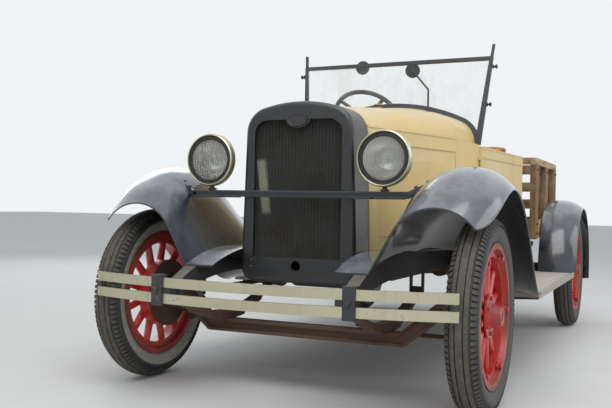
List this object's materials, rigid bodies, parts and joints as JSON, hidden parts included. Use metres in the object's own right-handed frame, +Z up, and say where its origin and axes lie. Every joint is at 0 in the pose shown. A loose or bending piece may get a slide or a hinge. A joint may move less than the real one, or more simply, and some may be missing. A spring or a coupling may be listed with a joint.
{
  "type": "open roadster utility with stake bed",
  "caption": "Open roadster utility of the late 1920s: upright radiator, wooden wheels, crowned fenders, bench seat and a staked load bed.",
  "frame": {"origin": "on the ground, in the middle of the car's length and width", "axes": "+X to the car's left, -Y to its front, +Z up"},
  "size_m": [1.7238, 3.713, 1.6564],
  "materials": {
    "cream_paint": "weathered semi-gloss",
    "dark_enamel": "worn gloss",
    "core_metal": "matt mesh",
    "frame_steel": "worn satin",
    "rusty_steel": "rusty matt",
    "engine_iron": "matt",
    "bright_bar": "dulled plating",
    "clear_glass": "clear",
    "mirror_face": "satin",
    "red_wood": "painted gloss",
    "tyre_rubber": "dusty",
    "seat_leather": "worn",
    "black_rim": "worn gloss",
    "board_grey": "dusty matt",
    "stake_wood": "weathered"
  },
  "bodies": {
    "body": {"chassis_frame": "frame_steel", "front_axle": "rusty_steel", "springs": "rusty_steel", "rear_axle": "rusty_steel", "engine_and_gearbox": "engine_iron", "exhaust": "rusty_steel", "radiator_shell": "dark_enamel", "radiator_core": "core_metal", "bonnet_top": "cream_paint", "bonnet_sides": "cream_paint", "lamp_bar": "frame_steel", "headlamps": "bright_bar", "headlamp_lenses": "clear_glass", "bumper_bars": "bright_bar", "bumper_brackets": "frame_steel", "cowl": "cream_paint", "cab_floor": "frame_steel", "cab_body": "cream_paint", "dashboard": "cream_paint", "windscreen_frame": "frame_steel", "windscreen_glass": "clear_glass", "mirrors": "mirror_face", "seat_cushion": "seat_leather", "seat_back": "seat_leather", "steering_column": "frame_steel", "front_fenders": "dark_enamel", "rear_fenders": "dark_enamel", "running_boards": "board_grey", "bed_floor": "stake_wood", "bed_rack": "stake_wood", "controls": "frame_steel"},
    "wheel_front_left": {"wheel_front_left": "red_wood", "tyre_front_left": "tyre_rubber"},
    "wheel_front_right": {"wheel_front_right": "red_wood", "tyre_front_right": "tyre_rubber"},
    "wheel_rear_left": {"wheel_rear_left": "red_wood", "tyre_rear_left": "tyre_rubber"},
    "wheel_rear_right": {"wheel_rear_right": "red_wood", "tyre_rear_right": "tyre_rubber"},
    "knuckle_left": {"knuckle_left": "rusty_steel"},
    "knuckle_right": {"knuckle_right": "rusty_steel"},
    "tie_rod": {"tie_rod": "frame_steel"},
    "drag_link": {"drag_link": "frame_steel"},
    "pitman_arm": {"pitman_arm": "frame_steel"},
    "steering_wheel": {"steering_wheel": "black_rim"},
    "door_left": {"door_left": "cream_paint"},
    "door_right": {"door_right": "cream_paint"},
    "tail_rack": {"tail_rack": "stake_wood"}
  },
  "joints": [
    {"name": "steer_left", "type": "hinge", "parent": "body", "child": "knuckle_left", "pos_m": [0.64, -1.3415, 0.381], "axis": [0, 0, 1], "range_deg": [-28, 28]},
    {"name": "steer_right", "type": "hinge", "parent": "body", "child": "knuckle_right", "pos_m": [-0.64, -1.3415, 0.381], "axis": [0, 0, 1], "range_deg": [-28, 28]},
    {"name": "tie_rod_pivot", "type": "hinge", "parent": "knuckle_left", "child": "tie_rod", "pos_m": [0.64, -1.2015, 0.262], "axis": [0, 0, 1], "range_deg": [-28, 28]},
    {"name": "drag_link_pivot", "type": "hinge", "parent": "knuckle_right", "child": "drag_link", "pos_m": [-0.455, -1.3415, 0.412], "axis": [0, 0, 1], "range_deg": [-28, 28]},
    {"name": "pitman_swing", "type": "hinge", "parent": "body", "child": "pitman_arm", "pos_m": [-0.418, -0.7125, 0.562], "axis": [1, 0, 0], "range_deg": [-35, 35]},
    {"name": "steering_wheel_turn", "type": "hinge", "parent": "body", "child": "steering_wheel", "pos_m": [-0.244, 0.0385, 1.313], "axis": [0, 0.7071, 0.7071], "range_deg": [-252, 252]},
    {"name": "front_left_spin", "type": "hinge", "parent": "knuckle_left", "child": "wheel_front_left", "pos_m": [0.7575, -1.3415, 0.381], "axis": [1, 0, 0], "continuous": true},
    {"name": "front_right_spin", "type": "hinge", "parent": "knuckle_right", "child": "wheel_front_right", "pos_m": [-0.7575, -1.3415, 0.381], "axis": [1, 0, 0], "continuous": true},
    {"name": "rear_left_spin", "type": "hinge", "parent": "body", "child": "wheel_rear_left", "pos_m": [0.7575, 1.3765, 0.381], "axis": [1, 0, 0], "continuous": true},
    {"name": "rear_right_spin", "type": "hinge", "parent": "body", "child": "wheel_rear_right", "pos_m": [-0.7575, 1.3765, 0.381], "axis": [1, 0, 0], "continuous": true},
    {"name": "door_left_swing", "type": "hinge", "parent": "body", "child": "door_left", "pos_m": [0.50671, -0.2845, 0.9], "axis": [0, 0, -1], "range_deg": [0, 70]},
    {"name": "door_right_swing", "type": "hinge", "parent": "body", "child": "door_right", "pos_m": [-0.50671, -0.2845, 0.9], "axis": [0, 0, 1], "range_deg": [0, 70]},
    {"name": "tail_rack_drop", "type": "hinge", "parent": "body", "child": "tail_rack", "pos_m": [0, 1.7375, 0.653], "axis": [-1, 0, 0], "range_deg": [0, 90]}
  ],
  "couplings": [
    {"joint": "steer_right", "follows": "steer_left", "ratio": 1},
    {"joint": "tie_rod_pivot", "follows": "steer_left", "ratio": -1},
    {"joint": "drag_link_pivot", "follows": "steer_left", "ratio": -1},
    {"joint": "pitman_swing", "follows": "steer_left", "ratio": 1.2333},
    {"joint": "steering_wheel_turn", "follows": "steer_left", "ratio": 9}
  ]
}
